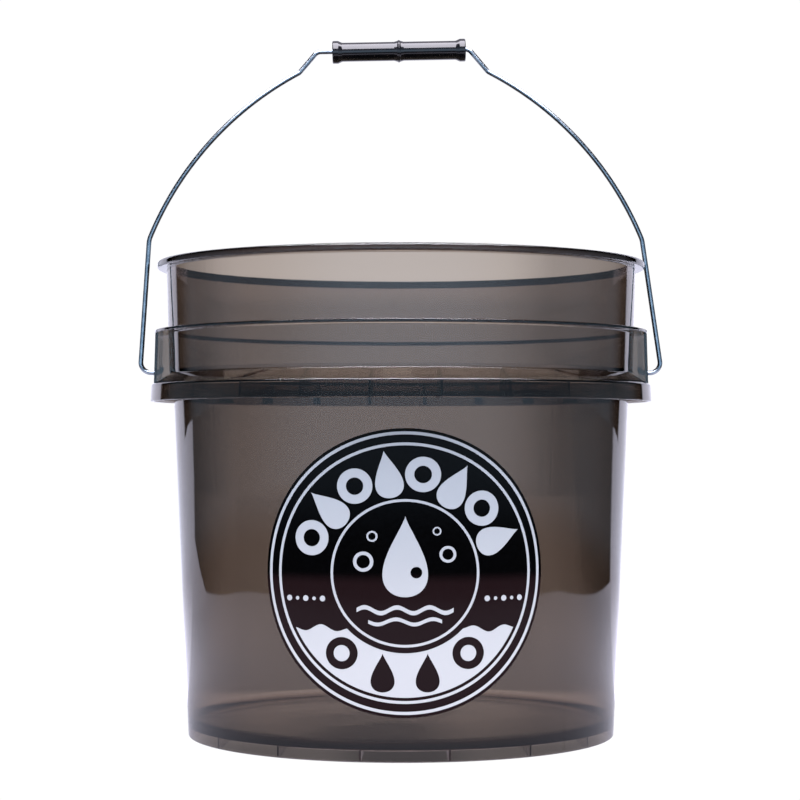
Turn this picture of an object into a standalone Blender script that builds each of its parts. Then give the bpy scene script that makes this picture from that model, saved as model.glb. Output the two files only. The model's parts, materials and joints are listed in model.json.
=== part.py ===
"""Clear wash bucket with wire bail, turning hand grip and round front label (metres, +Z up)."""
import math

import bmesh
import bpy
from mathutils import Matrix, Vector

MM = 0.001

# ---- bucket wall (radii are outer radii) ----
WALL = 2.3 * MM
SEGMENTS = 72
HEIGHT = 292.0 * MM
BASE_R = 131.7 * MM             # outer wall carried down to the ground
LOWER_TAPER = 0.0444            # radius gained per unit of height under the shoulder
UPPER_R = 145.7 * MM            # outer wall just under the rim
UPPER_ROOT_R = 143.95 * MM      # outer wall where the shoulder starts
FLOOR_UNDER = 7.0 * MM
FLOOR_TOP = 9.2 * MM
FLOOR_FILLET = 5.0 * MM

# ---- rim lip, flange ring, shoulder and skirt ----
RIM_R = 151.5 * MM
RIM_DEPTH = 4.3 * MM
FLANGE_R = 152.9 * MM
FLANGE_TOP = 249.5 * MM
FLANGE_BOTTOM = 247.7 * MM
SHOULDER_ROOT_Z = 222.7 * MM
SHOULDER_EDGE_Z = 216.0 * MM
SKIRT_TOP_R = 154.9 * MM
SKIRT_BOTTOM_R = 155.45 * MM
SKIRT_BOTTOM_Z = 205.7 * MM
SKIRT_WALL = 2.0 * MM
STEP_INNER_Z = (217.5 * MM, 225.0 * MM)

# ---- ribs ----
GUSSETS = 24
GUSSET_THICK = 1.3 * MM
FOOT_RIBS = 16
FOOT_RIB_THICK = 1.1 * MM

# ---- bail ears ----
EAR_HALF = 19.0 * MM
EAR_WALL = 1.8 * MM
EAR_TOP_R = 152.7 * MM
EAR_BOTTOM_R = 153.6 * MM
PIVOT_Z = 224.0 * MM
HOLE_R = 2.2 * MM
POCKET_X = (145.4 * MM, 150.3 * MM)     # way out for the core that forms the inside of an ear
POCKET_HALF = 16.5 * MM

# ---- bail wire: corner points in the plane of the bail, then the bend radius of each ----
WIRE_R = 1.525 * MM
TAIL_X = 149.35 * MM            # upturned end inside the ear
TAIL_TOP = 227.5 * MM
TAIL_BEND = 2.5 * MM
ELBOW_X = {-1: 162.7 * MM, 1: 163.2 * MM}
ELBOW_BEND = 6.3 * MM
KINK = {-1: (157.3 * MM, 307.0 * MM), 1: (151.1 * MM, 307.5 * MM)}
KINK_BEND = 14.0 * MM
CROWN_ARC = 205.0 * MM
CREST = {-1: (63.6 * MM, 411.9 * MM), 1: (54.6 * MM, 412.9 * MM)}
CREST_BEND = 5.0 * MM
TOP = {-1: (52.5 * MM, 425.0 * MM), 1: (42.6 * MM, 427.0 * MM)}
TOP_BEND = 5.0 * MM

# ---- grip ----
GRIP_LENGTH = 83.4 * MM
GRIP_CENTRE_X = -1.3 * MM
GRIP_SAG = 0.45 * MM            # the sleeve hangs a little low on the wire
GRIP_R = 5.9 * MM
GRIP_END_R = 7.1 * MM
GRIP_BORE_R = 2.35 * MM
BEAD_R = 7.0 * MM
BEAD_HALF = 1.5 * MM

# ---- label ----
LABEL_HALF_WIDTH = 83.4 * MM
LABEL_HALF_HEIGHT = 81.6 * MM
LABEL_Z = 107.0 * MM
LABEL_THICK = 0.3 * MM
LABEL_GAP = 0.3 * MM


def wall_r(z):
    """Outer radius of the wall under the shoulder."""
    return BASE_R + LOWER_TAPER * z


def shoulder_z(r):
    """Height of the shoulder's upper face at radius r."""
    t = (r - UPPER_ROOT_R) / (SKIRT_TOP_R - UPPER_ROOT_R)
    return SHOULDER_ROOT_Z + (SHOULDER_EDGE_Z - SHOULDER_ROOT_Z) * t


def clear_scene():
    for obj in list(bpy.data.objects):
        bpy.data.objects.remove(obj, do_unlink=True)


def make_collection(name):
    coll = bpy.data.collections.new(name)
    bpy.context.scene.collection.children.link(coll)
    return coll


def make_material(name, colour, rough, metal=0.0, alpha=1.0, coat=0.0):
    mat = bpy.data.materials.new(name)
    mat.use_nodes = True
    bsdf = mat.node_tree.nodes["Principled BSDF"]
    bsdf.inputs["Base Color"].default_value = (*colour, 1.0)
    bsdf.inputs["Roughness"].default_value = rough
    bsdf.inputs["Metallic"].default_value = metal
    bsdf.inputs["Alpha"].default_value = alpha
    bsdf.inputs["Coat Weight"].default_value = coat
    mat.diffuse_color = (*colour, alpha)
    return mat


def new_object(name, bm, coll, mat=None):
    mesh = bpy.data.meshes.new(name)
    bm.to_mesh(mesh)
    bm.free()
    obj = bpy.data.objects.new(name, mesh)
    coll.objects.link(obj)
    if mat:
        mesh.materials.append(mat)
    return obj


def show_as_cutter(obj):
    obj.hide_render = True
    obj.display_type = "WIRE"


def apply_modifiers(obj):
    """Replace an object's mesh by its evaluated mesh."""
    deps = bpy.context.evaluated_depsgraph_get()
    deps.update()
    mesh = bpy.data.meshes.new_from_object(obj.evaluated_get(deps), depsgraph=deps)
    old = obj.data
    obj.modifiers.clear()
    obj.data = mesh
    bpy.data.meshes.remove(old)


def lathe(name, profile, coll, steps, mat=None, closed=True):
    """Spin an (r, z) profile about Z with a Screw modifier."""
    bm = bmesh.new()
    verts = [bm.verts.new((r, 0.0, z)) for r, z in profile]
    for a, b in zip(verts, verts[1:]):
        bm.edges.new((a, b))
    if closed:
        bm.edges.new((verts[-1], verts[0]))
    obj = new_object(name, bm, coll, mat)
    screw = obj.modifiers.new("spin", "SCREW")
    screw.axis = "Z"
    screw.steps = screw.render_steps = steps
    screw.use_merge_vertices = True
    screw.merge_threshold = 0.00001
    screw.use_smooth_shade = True
    apply_modifiers(obj)
    return obj


def rounded(corners):
    """Turn (x, z, radius, steps) corners into points, with an arc at each corner that has a radius."""
    points = []
    for i, (x, z, radius, steps) in enumerate(corners):
        here = Vector((x, z))
        if radius <= 0.0:
            points.append(here)
            continue
        to_prev = (Vector(corners[i - 1][:2]) - here).normalized()
        to_next = (Vector(corners[(i + 1) % len(corners)][:2]) - here).normalized()
        half = to_prev.angle(to_next) / 2.0
        centre = here + (to_prev + to_next).normalized() * (radius / math.sin(half))
        start = here + to_prev * (radius / math.tan(half)) - centre
        end = here + to_next * (radius / math.tan(half)) - centre
        turn = start.angle(end)
        for k in range(steps + 1):
            t = k / steps
            a = math.sin((1.0 - t) * turn) / math.sin(turn)
            b = math.sin(t * turn) / math.sin(turn)
            points.append(centre + start * a + end * b)
    return [(p.x, p.y) for p in points]


def shell_profile():
    """Half section of the moulding: down the outside, under the foot, up the inside."""
    rim_under = HEIGHT - RIM_DEPTH
    under_root = wall_r(SHOULDER_ROOT_Z) + 0.1 * MM
    under_z = shoulder_z(under_root) - SKIRT_WALL * 1.2
    inner_low = wall_r(STEP_INNER_Z[0]) - WALL
    inner_high = UPPER_ROOT_R + 0.1 * MM - WALL
    foot_in = wall_r(FLOOR_UNDER) - WALL - 0.1 * MM
    corners = [
        (RIM_R, HEIGHT, 1.6 * MM, 2),
        (RIM_R, rim_under, 1.2 * MM, 2),
        (UPPER_R, rim_under, 0.7 * MM, 1),
        (UPPER_R - 1.08 * MM, FLANGE_TOP, 0.7 * MM, 1),
        (FLANGE_R, FLANGE_TOP, 0.4 * MM, 1),
        (FLANGE_R, FLANGE_BOTTOM, 0.4 * MM, 1),
        (UPPER_R - 1.13 * MM, FLANGE_BOTTOM, 0.7 * MM, 1),
        (UPPER_ROOT_R, SHOULDER_ROOT_Z, 1.0 * MM, 1),
        (SKIRT_TOP_R, SHOULDER_EDGE_Z, 1.2 * MM, 2),
        (SKIRT_BOTTOM_R, SKIRT_BOTTOM_Z, 0.4 * MM, 1),
        (SKIRT_BOTTOM_R - SKIRT_WALL, SKIRT_BOTTOM_Z, 0.4 * MM, 1),
        (SKIRT_TOP_R - SKIRT_WALL, SHOULDER_EDGE_Z - 1.2 * MM, 0.8 * MM, 1),
        (under_root, under_z, 0.7 * MM, 1),
        (BASE_R, 0.0, 1.0 * MM, 2),
        (foot_in - 0.2 * MM, 0.0, 0.4 * MM, 1),
        (foot_in, FLOOR_UNDER, 0.6 * MM, 1),
        (0.0, FLOOR_UNDER, 0.0, 0),
        (0.0, FLOOR_TOP, 0.0, 0),
        (wall_r(FLOOR_TOP) - WALL, FLOOR_TOP, FLOOR_FILLET, 4),
        (inner_low, STEP_INNER_Z[0], 0.0, 0),
        (inner_high, STEP_INNER_Z[1], 0.0, 0),
        (UPPER_R - WALL, HEIGHT, 0.5 * MM, 1),
    ]
    return rounded(corners)


def plate_ring(name, outline, thickness, count, coll):
    """Flat radial plates with the given (r, z) outline, evenly spaced about Z, half a step off +X."""
    bm = bmesh.new()
    for k in range(count):
        turn = Matrix.Rotation(math.tau * (k + 0.5) / count, 3, "Z")
        front = [bm.verts.new(turn @ Vector((r, -thickness / 2, z))) for r, z in outline]
        back = [bm.verts.new(turn @ Vector((r, thickness / 2, z))) for r, z in outline]
        bm.faces.new(front)
        bm.faces.new(list(reversed(back)))
        for i in range(len(outline)):
            j = (i + 1) % len(outline)
            bm.faces.new((front[j], front[i], back[i], back[j]))
    bmesh.ops.recalc_face_normals(bm, faces=bm.faces)
    return new_object(name, bm, coll)


def gusset_plates(coll):
    """Plates that stiffen the skirt, between it and the wall."""
    foot = SKIRT_BOTTOM_Z + 1.0 * MM
    wall = wall_r(foot) - 0.5 * MM
    skirt = SKIRT_BOTTOM_R - 1.0 * MM
    high = UPPER_ROOT_R - 1.6 * MM
    outline = [(wall, foot), (skirt, foot), (skirt - 0.5 * MM, shoulder_z(skirt) - 1.2 * MM),
               (high, shoulder_z(high) - 1.4 * MM), (wall, STEP_INNER_Z[0])]
    return plate_ring("gusset_plates", outline, GUSSET_THICK, GUSSETS, coll)


def foot_plates(coll):
    """Short ribs between the foot ring and the underside of the floor."""
    wall = wall_r(0.0) - 1.2 * MM
    outline = [(wall, 0.8 * MM), (wall - 3.0 * MM, 0.8 * MM), (wall - 11.0 * MM, FLOOR_UNDER),
               (wall - 11.0 * MM, FLOOR_UNDER + 1.0 * MM), (wall, FLOOR_UNDER + 1.0 * MM)]
    return plate_ring("foot_plates", outline, FOOT_RIB_THICK, FOOT_RIBS, coll)


def ear_plan():
    """Plan of one ear on the +X side: side plate, curved outer plate, side plate."""
    reach = math.asin(EAR_HALF / EAR_TOP_R)
    root = UPPER_ROOT_R - 1.0 * MM
    start = math.sqrt(root ** 2 - EAR_HALF ** 2)
    plan = [(start, -EAR_HALF)]
    for i in range(9):
        a = reach * (i / 4.0 - 1.0)
        plan.append((EAR_TOP_R * math.cos(a), EAR_TOP_R * math.sin(a)))
    plan.append((start, EAR_HALF))
    return plan


def ear_box(side, coll):
    """Open-backed box between flange and shoulder that carries one end of the bail."""
    bm = bmesh.new()
    rows = []
    for x, y in ear_plan():
        r = math.hypot(x, y)
        grow = EAR_BOTTOM_R / EAR_TOP_R if r > EAR_TOP_R - 1.0 * MM else 1.0
        top = bm.verts.new((side * x, y, FLANGE_BOTTOM + 0.9 * MM))
        low = bm.verts.new((side * x * grow, y, shoulder_z(r * grow) - 1.0 * MM))
        rows.append((top, low))
    for (a, b), (c, d) in zip(rows, rows[1:]):
        bm.faces.new((a, b, d, c) if side > 0 else (c, d, b, a))
    obj = new_object("ear_%s" % ("right" if side > 0 else "left"), bm, coll)
    solid = obj.modifiers.new("plate", "SOLIDIFY")
    solid.thickness = EAR_WALL
    solid.offset = -1.0
    solid.use_even_offset = True
    apply_modifiers(obj)
    return obj


def cylinder_x(name, radius, x0, x1, z, coll, sides=20):
    """Solid cylinder along X, used as a drill."""
    bm = bmesh.new()
    place = Matrix.Translation(((x0 + x1) / 2, 0.0, z)) @ Matrix.Rotation(math.pi / 2, 4, "Y")
    bmesh.ops.create_cone(bm, cap_ends=True, segments=sides, radius1=radius, radius2=radius,
                          depth=abs(x1 - x0), matrix=place)
    obj = new_object(name, bm, coll)
    show_as_cutter(obj)
    return obj


def pocket_block(side, coll):
    """Block that opens the underside of an ear through the shoulder."""
    low, high = SHOULDER_EDGE_Z - 5.0 * MM, PIVOT_Z - 1.0 * MM
    size = (POCKET_X[1] - POCKET_X[0], 2.0 * POCKET_HALF, high - low)
    centre = (side * sum(POCKET_X) / 2.0, 0.0, (low + high) / 2.0)
    bm = bmesh.new()
    bmesh.ops.create_cube(bm, size=1.0, matrix=Matrix.Translation(centre) @ Matrix.Diagonal((*size, 1.0)))
    obj = new_object("ear_pocket_%s" % ("right" if side > 0 else "left"), bm, coll)
    show_as_cutter(obj)
    return obj


def boolean(target, tool, operation):
    mod = target.modifiers.new(operation.lower() + "_" + tool.name, "BOOLEAN")
    mod.operation = operation
    mod.object = tool
    mod.solver = "EXACT"


def build_shell(coll, cutters, mat):
    shell = lathe("bucket_shell", shell_profile(), coll, SEGMENTS, mat)
    tools = [gusset_plates(cutters), foot_plates(cutters), ear_box(-1, cutters), ear_box(1, cutters)]
    for tool in tools:
        show_as_cutter(tool)
        boolean(shell, tool, "UNION")
    for side in (-1, 1):
        drill = cylinder_x("ear_drill_%s" % ("right" if side > 0 else "left"), HOLE_R,
                           side * 149.5 * MM, side * 158.0 * MM, PIVOT_Z, cutters)
        boolean(shell, drill, "DIFFERENCE")
        boolean(shell, pocket_block(side, cutters), "DIFFERENCE")
    return shell


def wire_side(side):
    """Corner points of one half of the bail, from the hook up to the straight top."""
    kink, crest = Vector(KINK[side]), Vector(CREST[side])
    chord = crest - kink
    mid = (kink + crest) / 2.0
    out = Vector((-chord.y, chord.x)).normalized()
    if out.x < 0.0:
        out = -out
    centre = mid - out * math.sqrt(CROWN_ARC ** 2 - (chord.length / 2.0) ** 2)
    a0 = math.atan2(kink.y - centre.y, kink.x - centre.x)
    a1 = math.atan2(crest.y - centre.y, crest.x - centre.x)
    corners = [(TAIL_X, TAIL_TOP, 0.0, 0), (TAIL_X, PIVOT_Z, TAIL_BEND, 5),
               (ELBOW_X[side], PIVOT_Z, ELBOW_BEND, 8), (*kink, KINK_BEND, 4)]
    for i in range(1, 12):
        a = a0 + (a1 - a0) * i / 12.0
        corners.append((centre.x + CROWN_ARC * math.cos(a), centre.y + CROWN_ARC * math.sin(a), 0.0, 0))
    corners += [(*crest, CREST_BEND, 3), (*TOP[side], TOP_BEND, 6)]
    return [(side * x, z, radius, steps) for x, z, radius, steps in corners]


def build_wire(coll, mat, pivot):
    corners = wire_side(-1) + list(reversed(wire_side(1)))
    points = rounded(corners)
    curve = bpy.data.curves.new("bail_wire", "CURVE")
    curve.dimensions = "3D"
    curve.bevel_depth = WIRE_R
    curve.bevel_resolution = 3
    curve.use_fill_caps = True
    spline = curve.splines.new("POLY")
    spline.points.add(len(points) - 1)
    for point, (x, z) in zip(spline.points, points):
        point.co = (x, 0.0, z - pivot.z, 1.0)
    path = bpy.data.objects.new("bail_path", curve)
    coll.objects.link(path)
    path.location = pivot
    bpy.context.view_layer.update()
    deps = bpy.context.evaluated_depsgraph_get()
    mesh = bpy.data.meshes.new_from_object(path.evaluated_get(deps), depsgraph=deps)
    bm = bmesh.new()
    bm.from_mesh(mesh)
    bmesh.ops.remove_doubles(bm, verts=bm.verts, dist=0.00001)
    bmesh.ops.recalc_face_normals(bm, faces=bm.faces)
    bm.to_mesh(mesh)
    bm.free()
    wire = bpy.data.objects.new("bail_wire", mesh)
    coll.objects.link(wire)
    wire.matrix_world = path.matrix_world.copy()
    bpy.data.objects.remove(path, do_unlink=True)
    mesh.materials.clear()
    mesh.materials.append(mat)
    for poly in mesh.polygons:
        poly.use_smooth = True
    return wire


def top_line():
    """Straight top of the wire: a point at the grip's middle and the direction."""
    left = Vector((-TOP[-1][0], 0.0, TOP[-1][1]))
    right = Vector((TOP[1][0], 0.0, TOP[1][1]))
    along = (right - left).normalized()
    t = (GRIP_CENTRE_X - left.x) / along.x
    return left + along * t, along


def grip_profile():
    half = GRIP_LENGTH / 2.0
    side = [(GRIP_END_R - 0.5 * MM, half), (GRIP_END_R, half - 0.6 * MM), (GRIP_END_R, half - 2.6 * MM),
            (GRIP_R + 0.25 * MM, half - 5.2 * MM), (GRIP_R, half - 6.6 * MM),
            (GRIP_R, BEAD_HALF + 0.8 * MM), (BEAD_R - 0.25 * MM, BEAD_HALF * 0.55), (BEAD_R, 0.0)]
    outer = side + [(r, -z) for r, z in reversed(side[:-1])]
    return outer + [(GRIP_BORE_R, -half), (GRIP_BORE_R, half)]


def build_grip(coll, mat):
    grip = lathe("grip", grip_profile(), coll, 32, mat)
    middle, along = top_line()
    down = Vector((0.0, 0.0, -1.0))
    grip.location = middle + down * GRIP_SAG
    grip.rotation_euler = Vector((0.0, 0.0, 1.0)).rotation_difference(along).to_euler()
    return grip


def build_label(coll, mat):
    """Round sticker wrapped on the front of the tapered wall."""
    rings, spokes = 8, 48
    slope = math.atan(LOWER_TAPER)

    def place(u, v):
        z = LABEL_Z + v * math.cos(slope)
        r = wall_r(z) + LABEL_GAP
        return Vector((r * math.sin(u / r), -r * math.cos(u / r), z))

    bm = bmesh.new()
    centre = bm.verts.new(place(0.0, 0.0))
    last = None
    for i in range(1, rings + 1):
        t = i / rings
        ring = []
        for k in range(spokes):
            a = math.tau * k / spokes
            u, v = LABEL_HALF_WIDTH * math.cos(a), LABEL_HALF_HEIGHT * math.sin(a)
            ring.append(bm.verts.new(place(u * t, v * t)))
        for k in range(spokes):
            j = (k + 1) % spokes
            if last is None:
                bm.faces.new((centre, ring[k], ring[j]))
            else:
                bm.faces.new((last[k], ring[k], ring[j], last[j]))
        last = ring
    label = new_object("label", bm, coll, mat)
    solid = label.modifiers.new("film", "SOLIDIFY")
    solid.thickness = LABEL_THICK
    solid.offset = 1.0
    for poly in label.data.polygons:
        poly.use_smooth = True
    apply_modifiers(label)
    return label


def main():
    clear_scene()
    coll = make_collection("wash_bucket")
    cutters = make_collection("wash_bucket_cutters")
    smoke = make_material("clear_smoke_plastic", (0.42, 0.38, 0.36), 0.08, alpha=0.45)
    zinc = make_material("zinc_plated_steel", (0.62, 0.66, 0.70), 0.28, metal=1.0)
    black = make_material("black_gloss_plastic", (0.012, 0.012, 0.014), 0.18, coat=0.3)
    vinyl = make_material("printed_vinyl", (0.02, 0.018, 0.02), 0.15, coat=0.6)
    build_shell(coll, cutters, smoke)
    build_wire(coll, zinc, Vector((0.0, 0.0, PIVOT_Z)))
    build_grip(coll, black)
    build_label(coll, vinyl)


main()
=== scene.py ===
"""Looks of the clear wash bucket: moulded shell, zinc-plated wire bail, black grip and round front label."""
import json
import math

import bmesh
import bpy
from mathutils import Matrix, Vector


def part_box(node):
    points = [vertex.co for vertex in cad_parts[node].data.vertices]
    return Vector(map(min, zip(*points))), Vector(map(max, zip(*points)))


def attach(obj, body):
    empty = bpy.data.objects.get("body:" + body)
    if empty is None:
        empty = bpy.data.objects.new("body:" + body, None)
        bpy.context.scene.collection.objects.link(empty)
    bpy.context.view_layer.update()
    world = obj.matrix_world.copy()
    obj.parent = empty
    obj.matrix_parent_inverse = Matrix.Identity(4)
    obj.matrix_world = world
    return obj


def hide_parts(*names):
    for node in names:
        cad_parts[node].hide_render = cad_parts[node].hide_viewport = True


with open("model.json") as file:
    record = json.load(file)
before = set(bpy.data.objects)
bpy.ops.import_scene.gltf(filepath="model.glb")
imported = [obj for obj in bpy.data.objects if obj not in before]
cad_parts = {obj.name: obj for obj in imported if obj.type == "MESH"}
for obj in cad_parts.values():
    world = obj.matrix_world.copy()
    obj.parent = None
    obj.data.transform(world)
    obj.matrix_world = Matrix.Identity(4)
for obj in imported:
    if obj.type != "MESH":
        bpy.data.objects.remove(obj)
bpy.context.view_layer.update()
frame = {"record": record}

MM = 0.001
SHELL_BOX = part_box("bucket_shell")
JOINTS = {joint["name"]: joint for joint in frame["record"]["behaviour"]["joints"]}

# ---- bucket wall (outer radii), as the CAD shell has them ----
WALL = 2.3 * MM
SEGMENTS = 288
HEIGHT = SHELL_BOX[1][2]
BASE_R = 131.7 * MM
LOWER_TAPER = 0.0444
UPPER_R = 145.7 * MM
UPPER_ROOT_R = 143.95 * MM
FLOOR_UNDER = 7.0 * MM
FLOOR_TOP = 9.2 * MM
FLOOR_FILLET = 5.0 * MM
RIM_R = 151.5 * MM
RIM_DEPTH = 4.3 * MM
FLANGE_R = 152.9 * MM
FLANGE_TOP = 249.5 * MM
FLANGE_BOTTOM = 247.7 * MM
SHOULDER_ROOT_Z = 222.7 * MM
SHOULDER_EDGE_Z = 216.0 * MM
SKIRT_TOP_R = 154.9 * MM
SKIRT_BOTTOM_R = 155.45 * MM
SKIRT_BOTTOM_Z = 205.7 * MM
SKIRT_WALL = 2.0 * MM
STEP_INNER_Z = (217.5 * MM, 225.0 * MM)

# ---- ribs and ears ----
GUSSETS = 24
GUSSET_THICK = 1.3 * MM
FOOT_RIBS = 16
FOOT_RIB_THICK = 1.1 * MM
SEAMS = 4
SEAM_WIDTH = 0.28 * MM
SEAM_PROUD = 0.07 * MM
SEAM_BITE = 0.6 * MM            # how far a seam ridge reaches into the wall
EAR_HALF = 19.0 * MM
EAR_WALL = 1.8 * MM
EAR_TOP_R = 152.7 * MM
EAR_BOTTOM_R = 153.6 * MM
PIVOT_Z = JOINTS["bail_hinge"]["pos_m"][2]
HOLE_R = 2.2 * MM
DRILL_X = (149.5 * MM, 158.0 * MM)
POCKET_X = (145.4 * MM, 150.3 * MM)
POCKET_HALF = 16.5 * MM

# ---- bail wire ----
WIRE_R = 1.525 * MM
TAIL_X = 149.35 * MM
TAIL_TOP = 227.5 * MM
TAIL_BEND = 2.5 * MM
ELBOW_X = {-1: 162.7 * MM, 1: 163.2 * MM}
ELBOW_BEND = 6.3 * MM
KINK = {-1: (157.3 * MM, 307.0 * MM), 1: (151.1 * MM, 307.5 * MM)}
KINK_BEND = 14.0 * MM
CROWN_ARC = 205.0 * MM
CREST = {-1: (63.6 * MM, 411.9 * MM), 1: (54.6 * MM, 412.9 * MM)}
CREST_BEND = 5.0 * MM
TOP = {-1: (52.5 * MM, 425.0 * MM), 1: (42.6 * MM, 427.0 * MM)}
TOP_BEND = 5.0 * MM

# ---- grip ----
GRIP_LENGTH = 83.4 * MM
GRIP_CENTRE_X = JOINTS["grip_spin"]["pos_m"][0]
GRIP_SAG = 0.45 * MM
GRIP_R = 5.9 * MM
GRIP_END_R = 7.1 * MM
GRIP_BORE_R = 2.35 * MM
BEAD_R = 7.0 * MM
BEAD_HALF = 1.5 * MM

# ---- label ----
LABEL_HALF_WIDTH = 83.4 * MM
LABEL_HALF_HEIGHT = 81.6 * MM
LABEL_Z = 107.0 * MM
FILM_LIFT = 0.08 * MM           # glue line between wall and film
FILM_THICK = 0.25 * MM
INK_THICK = 0.04 * MM
INK_BITE = 0.01 * MM            # the print starts this far inside the film
LABEL_GRID = 3.0 * MM           # width of the flat strips that follow the wall's curve

# ---- looks; colours are linear ----
SMOKE_TINT = (0.368, 0.270, 0.217, 1.0)
SMOKE_DENSITY = 600.0
PLASTIC_IOR = 1.49
ZINC_DARK = (0.22, 0.26, 0.30, 1.0)
ZINC_LIGHT = (0.34, 0.38, 0.42, 1.0)
GRIP_DARK = (0.0035, 0.0040, 0.0060, 1.0)
GRIP_WORN = (0.0080, 0.0070, 0.0085, 1.0)
INK_BLACK = (0.0009, 0.0009, 0.0011, 1.0)
# Painted reflection: the black film's lower half is warmer, as if it mirrored the table.
INK_BLACK_PAINTED_REFLECTION = (0.0105, 0.0052, 0.0062, 1.0)
INK_BLACK_SPECK = (0.010, 0.009, 0.010, 1.0)
INK_WHITE = (0.355, 0.385, 0.445, 1.0)
# Painted light: the white print is lighter towards the label's bottom, where the table's light falls.
INK_WHITE_PAINTED_LIGHT = (0.52, 0.53, 0.575, 1.0)
INK_WHITE_SCREEN = (0.36, 0.38, 0.43, 1.0)

# ---- camera ----
CAMERA_DISTANCE = 1363.5 * MM
CAMERA_HEIGHT = 180.8 * MM
CAMERA_SIDE = math.radians(1.0)     # the camera stands this far to the bucket's left
CAMERA_PITCH = math.radians(1.10)
CAMERA_AIM = math.radians(0.026)    # the axis sits this much right of the picture's middle
LENS = 98.2                         # focal length and film width in millimetres
SENSOR_WIDTH = 36.0

# ---- studio light ----
# The backdrop and the table, seen directly.
SEEN_WHITE = (1.02, 1.02, 1.02, 1.0)
# What the gloss mirrors. The room behind the camera is cool.
BACKDROP_TINT = (1.05, 1.04, 1.24, 1.0)
SHEET_TINT = (1.0, 0.98, 1.18, 1.0)
ROOM_TINT = (0.38, 0.52, 0.68, 1.0)
BOX_TINT = (0.93, 0.90, 1.0, 1.0)
# What rays meet when they leave the plastic.
BACKDROP_WARMTH = (1.0, 0.97, 0.93, 1.0)
TABLE_WARMTH = (1.0, 0.97, 0.94, 1.0)
# What lights matt surfaces.
SOFT_FRONT = (0.16, 0.17, 0.20, 1.0)
SOFT_BACK = (0.75, 0.76, 0.80, 1.0)
SOFT_TABLE = (0.45, 0.45, 0.46, 1.0)

SHEET_HALF_WIDTH = 0.83             # the white sheet the bucket stands on
SHEET_FRONT = 0.69
SHEET_ROUND = 1.78                  # 2 makes its front edge an ellipse, 1 a straight corner
BACKDROP_HALF = math.radians(37.0)  # half width of the white wall behind, as the gloss sees it
BACKDROP_BLUR = 0.03
CARD_SLOPE = 1.46                   # inner edge of the white card that lies on the table at the left
CARD_EDGE = -0.82

# Levels of the light as (place, level) stops.
# By height: z of a ray's unit direction. By angle: radians from the middle of the room.
# By slope: distance back per distance up. By bounces: the ray's depth.
# By reach and by depth: metres on the table from the bucket's axis, and behind it.
ROOM_BY_HEIGHT = ((-0.02, 3.2), (0.03, 3.2), (0.12, 1.10), (0.26, 0.85), (0.36, 0.28), (0.80, 0.08))
ROOM_BY_ANGLE = ((0.25, 1.0), (1.50, 0.36), (2.10, 0.14), (2.40, 0.0))
BOX_BY_SLOPE = ((-0.05, 13.5), (0.30, 0.85), (1.00, 0.85), (1.30, 0.0))
BACKDROP_BY_HEIGHT = (
    (-0.03, 0.88), (0.02, 0.90), (0.045, 0.82), (0.064, 0.86), (0.073, 1.18), (0.10, 1.18), (0.118, 1.60),
    (0.132, 0.98), (0.22, 0.90), (0.36, 0.45), (0.50, 0.80), (0.62, 2.60), (0.74, 2.80), (0.86, 5.00))
SHADE_BY_HEIGHT = ((0.117, 0.0), (0.132, 1.0), (0.30, 1.0), (0.40, 0.0))
BACKDROP_BY_BOUNCES = ((4.5, 1.0), (6.5, 0.80), (8.0, 0.06))
# The table stops are painted light and shade; the sheet's stops make a painted shadow near the bucket.
SHEET_PAINTED_SHADE_BY_REACH = ((0.14, 0.75), (0.42, 1.20), (0.90, 0.90))
TABLE_ROOM_BY_ANGLE = ((0.60, 1.0), (1.55, 0.32), (2.30, 0.08))
TABLE_BY_DEPTH = ((-0.08, 0.50), (0.07, 1.50), (0.18, 1.35), (0.25, 0.60), (0.80, 0.76))


def wall_r(z):
    """Outer radius of the wall under the shoulder."""
    return BASE_R + LOWER_TAPER * z


def shoulder_z(r):
    """Height of the shoulder's upper face at radius r."""
    t = (r - UPPER_ROOT_R) / (SKIRT_TOP_R - UPPER_ROOT_R)
    return SHOULDER_ROOT_Z + (SHOULDER_EDGE_Z - SHOULDER_ROOT_Z) * t


# ---------------------------------------------------------------- mesh tools

def link(obj):
    """Put an object in the scene."""
    bpy.context.scene.collection.objects.link(obj)
    return obj


def new_object(name, bm):
    """Turn a bmesh into an object of the scene and free it."""
    mesh = bpy.data.meshes.new(name)
    bm.to_mesh(mesh)
    bm.free()
    return link(bpy.data.objects.new(name, mesh))


def apply_modifiers(obj):
    """Replace an object's mesh by its evaluated mesh."""
    deps = bpy.context.evaluated_depsgraph_get()
    deps.update()
    mesh = bpy.data.meshes.new_from_object(obj.evaluated_get(deps), depsgraph=deps)
    old = obj.data
    obj.modifiers.clear()
    obj.data = mesh
    bpy.data.meshes.remove(old)
    return obj


def smooth(obj, angle=32.0):
    """Smooth shading in which broad faces keep their own direction beside narrow fillets."""
    obj.data.shade_smooth()
    obj.data.set_sharp_from_angle(angle=math.radians(angle))
    weigh = obj.modifiers.new("broad_faces_lead", "WEIGHTED_NORMAL")
    weigh.mode = "FACE_AREA"
    weigh.keep_sharp = True
    return apply_modifiers(obj)


def dress(obj, mat, body, slot, *nodes):
    """Give a piece its material and its body, and hide the CAD nodes that it stands for. slot is not used.
    """
    obj.data.materials.clear()
    obj.data.materials.append(mat)
    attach(obj, body)
    if nodes:
        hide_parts(*nodes)
    return obj


def lathe(name, profile, steps, closed=True):
    """Spin an (r, z) profile about Z with a Screw modifier."""
    bm = bmesh.new()
    verts = [bm.verts.new((r, 0.0, z)) for r, z in profile]
    for a, b in zip(verts, verts[1:]):
        bm.edges.new((a, b))
    if closed:
        bm.edges.new((verts[-1], verts[0]))
    obj = new_object(name, bm)
    screw = obj.modifiers.new("spin", "SCREW")
    screw.axis = "Z"
    screw.steps = screw.render_steps = steps
    screw.use_merge_vertices = True
    screw.merge_threshold = 0.00001
    screw.use_smooth_shade = True
    return apply_modifiers(obj)


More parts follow.
